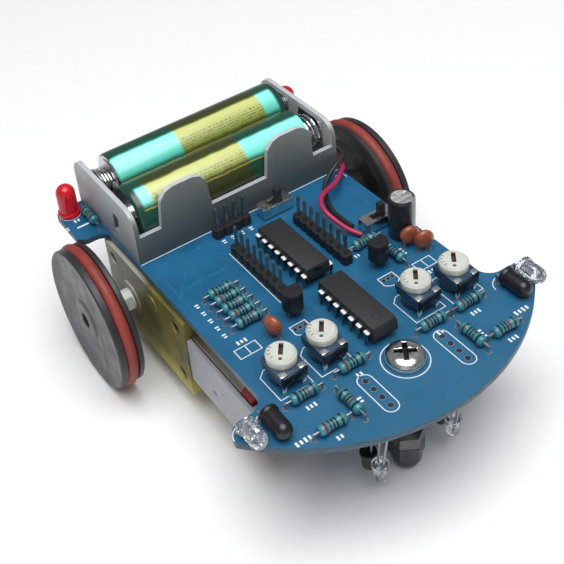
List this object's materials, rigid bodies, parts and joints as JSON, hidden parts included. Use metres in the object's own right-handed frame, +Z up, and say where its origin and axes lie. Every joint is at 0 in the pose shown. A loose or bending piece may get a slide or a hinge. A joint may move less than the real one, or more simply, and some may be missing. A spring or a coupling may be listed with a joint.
{
  "type": "two wheel robot car",
  "caption": "Small line-following robot car: a circuit-board deck on two geared wheels and a screw skid, with a battery box behind and sensors in front.",
  "frame": {"origin": "centre of the footprint, on the floor the wheels and the skid stand on", "axes": "+X towards the curved nose, +Y to the car's left, +Z up"},
  "size_m": [0.106, 0.0864, 0.0496],
  "materials": {
    "circuit_board": "blue solder mask, satin gloss",
    "solder": "bright tin solder",
    "tinned_wire": "tinned wire",
    "box_plastic": "pale grey moulded plastic",
    "cell_sleeve": "metallic green printed sleeve with a yellow band",
    "spring_wire": "nickel plated spring wire",
    "contact_plate": "nickel plated sheet",
    "red_lead": "red PVC insulation",
    "black_lead": "black PVC insulation",
    "socket_plastic": "black moulded plastic",
    "chip_plastic": "black epoxy, fine matt",
    "gold_pin": "gold flash on brass",
    "switch_metal": "stamped tin plated steel",
    "switch_plastic": "black moulded plastic",
    "capacitor_can": "bare aluminium, pressed vent",
    "capacitor_sleeve": "black heat shrink with a grey stripe",
    "ceramic_coat": "brown dipped epoxy",
    "trimmer_base": "dark moulded base with tinned tabs",
    "trimmer_knob": "ivory moulded plastic",
    "resistor_coat": "blue lacquer with colour bands",
    "transistor_plastic": "black epoxy",
    "clear_lamp": "water clear epoxy",
    "black_lamp": "infrared black epoxy",
    "red_lamp": "diffused red epoxy",
    "plated_steel": "bright zinc or nickel plate",
    "foam": "white double-sided foam tape",
    "gearbox_plastic": "mustard moulded plastic",
    "gearbox_inner_plastic": "mustard moulded plastic",
    "motor_steel": "drawn zinc plated steel",
    "motor_cap_plastic": "red moulded plastic",
    "strap_plastic": "white moulded plastic",
    "rotor_metal": "laminated steel and brass",
    "gear_plastic": "white acetal",
    "wheel_plastic": "dark grey moulded plastic",
    "tyre_rubber": "brick red rubber ring"
  },
  "bodies": {
    "chassis": {"deck": "circuit_board", "solder_joints": "solder", "component_leads": "tinned_wire", "battery_box": "box_plastic", "battery_front": "cell_sleeve", "battery_rear": "cell_sleeve", "battery_springs": "spring_wire", "battery_plates": "contact_plate", "lead_red": "red_lead", "lead_black": "black_lead", "ic1": "chip_plastic", "ic2": "chip_plastic", "header_strips_8": "socket_plastic", "header_strip_4": "socket_plastic", "header_pins": "gold_pin", "switch_frames": "switch_metal", "capacitor_can": "capacitor_can", "capacitor_sleeve": "capacitor_sleeve", "ceramic_capacitors": "ceramic_coat", "trimmer_bases": "trimmer_base", "resistors": "resistor_coat", "transistors": "transistor_plastic", "horn_emitters": "clear_lamp", "horn_receivers": "black_lamp", "floor_emitters": "clear_lamp", "floor_receivers": "black_lamp", "tail_leds": "red_lamp", "skid_screw": "plated_steel", "hex_nuts": "plated_steel", "cap_nut": "plated_steel", "foam_tapes": "foam", "gearbox_outer_shells": "gearbox_plastic", "gearbox_inner_shells": "gearbox_inner_plastic", "gearbox_screws": "plated_steel", "motor_cans": "motor_steel", "motor_caps": "motor_cap_plastic", "motor_straps": "strap_plastic", "motor_leads": "red_lead"},
    "left_wheel_set": {"left_output_gear": "gear_plastic", "left_wheel": "wheel_plastic", "left_tyre": "tyre_rubber"},
    "left_reduction_gear": {"left_reduction_gear": "gear_plastic"},
    "left_idler_gear": {"left_idler_gear": "gear_plastic"},
    "left_crown_gear": {"left_crown_gear": "gear_plastic"},
    "left_rotor": {"left_rotor": "rotor_metal"},
    "right_wheel_set": {"right_output_gear": "gear_plastic", "right_wheel": "wheel_plastic", "right_tyre": "tyre_rubber"},
    "right_reduction_gear": {"right_reduction_gear": "gear_plastic"},
    "right_idler_gear": {"right_idler_gear": "gear_plastic"},
    "right_crown_gear": {"right_crown_gear": "gear_plastic"},
    "right_rotor": {"right_rotor": "rotor_metal"},
    "power_lever": {"power_lever": "switch_plastic"},
    "mode_lever": {"mode_lever": "switch_plastic"},
    "trimmer_far_right": {"trimmer_far_right": "trimmer_knob"},
    "trimmer_right": {"trimmer_right": "trimmer_knob"},
    "trimmer_left": {"trimmer_left": "trimmer_knob"},
    "trimmer_far_left": {"trimmer_far_left": "trimmer_knob"}
  },
  "joints": [
    {"name": "left_wheel_spin", "type": "hinge", "parent": "chassis", "child": "left_wheel_set", "pos_m": [-0.0272, 0.0208, 0.0184], "axis": [0, 1, 0], "continuous": true},
    {"name": "left_reduction_spin", "type": "hinge", "parent": "chassis", "child": "left_reduction_gear", "pos_m": [-0.0157, 0.0208, 0.0184], "axis": [0, 1, 0], "continuous": true},
    {"name": "left_idler_spin", "type": "hinge", "parent": "chassis", "child": "left_idler_gear", "pos_m": [-0.0272, 0.0208, 0.0184], "axis": [0, 1, 0], "continuous": true},
    {"name": "left_crown_spin", "type": "hinge", "parent": "chassis", "child": "left_crown_gear", "pos_m": [-0.0157, 0.0208, 0.0184], "axis": [0, 1, 0], "continuous": true},
    {"name": "left_rotor_spin", "type": "hinge", "parent": "chassis", "child": "left_rotor", "pos_m": [0.0028, 0.0208, 0.0184], "axis": [1, 0, 0], "continuous": true},
    {"name": "right_wheel_spin", "type": "hinge", "parent": "chassis", "child": "right_wheel_set", "pos_m": [-0.0272, -0.0208, 0.0184], "axis": [0, 1, 0], "continuous": true},
    {"name": "right_reduction_spin", "type": "hinge", "parent": "chassis", "child": "right_reduction_gear", "pos_m": [-0.0157, -0.0208, 0.0184], "axis": [0, 1, 0], "continuous": true},
    {"name": "right_idler_spin", "type": "hinge", "parent": "chassis", "child": "right_idler_gear", "pos_m": [-0.0272, -0.0208, 0.0184], "axis": [0, 1, 0], "continuous": true},
    {"name": "right_crown_spin", "type": "hinge", "parent": "chassis", "child": "right_crown_gear", "pos_m": [-0.0157, -0.0208, 0.0184], "axis": [0, 1, 0], "continuous": true},
    {"name": "right_rotor_spin", "type": "hinge", "parent": "chassis", "child": "right_rotor", "pos_m": [0.0028, -0.0208, 0.0184], "axis": [1, 0, 0], "continuous": true},
    {"name": "power_lever_slide", "type": "slide", "parent": "chassis", "child": "power_lever", "axis": [0, 1, 0], "range_m": [-0.002, 0]},
    {"name": "mode_lever_slide", "type": "slide", "parent": "chassis", "child": "mode_lever", "axis": [0, 1, 0], "range_m": [-0.002, 0]},
    {"name": "trimmer_far_right_turn", "type": "hinge", "parent": "chassis", "child": "trimmer_far_right", "pos_m": [0.0267, -0.0223, 0.03795], "axis": [0, 0, 1], "range_deg": [-105, 105]},
    {"name": "trimmer_right_turn", "type": "hinge", "parent": "chassis", "child": "trimmer_right", "pos_m": [0.0267, -0.0122, 0.03795], "axis": [0, 0, 1], "range_deg": [-105, 105]},
    {"name": "trimmer_left_turn", "type": "hinge", "parent": "chassis", "child": "trimmer_left", "pos_m": [0.0268, 0.0125, 0.03795], "axis": [0, 0, 1], "range_deg": [-105, 105]},
    {"name": "trimmer_far_left_turn", "type": "hinge", "parent": "chassis", "child": "trimmer_far_left", "pos_m": [0.0277, 0.0223, 0.03795], "axis": [0, 0, 1], "range_deg": [-105, 105]}
  ],
  "couplings": [
    {"joint": "left_reduction_spin", "follows": "left_wheel_spin", "ratio": -2.1333},
    {"joint": "left_idler_spin", "follows": "left_wheel_spin", "ratio": 4.2667},
    {"joint": "left_crown_spin", "follows": "left_wheel_spin", "ratio": -10.667},
    {"joint": "left_rotor_spin", "follows": "left_wheel_spin", "ratio": -48},
    {"joint": "right_reduction_spin", "follows": "right_wheel_spin", "ratio": -2.1333},
    {"joint": "right_idler_spin", "follows": "right_wheel_spin", "ratio": 4.2667},
    {"joint": "right_crown_spin", "follows": "right_wheel_spin", "ratio": -10.667},
    {"joint": "right_rotor_spin", "follows": "right_wheel_spin", "ratio": 48}
  ]
}
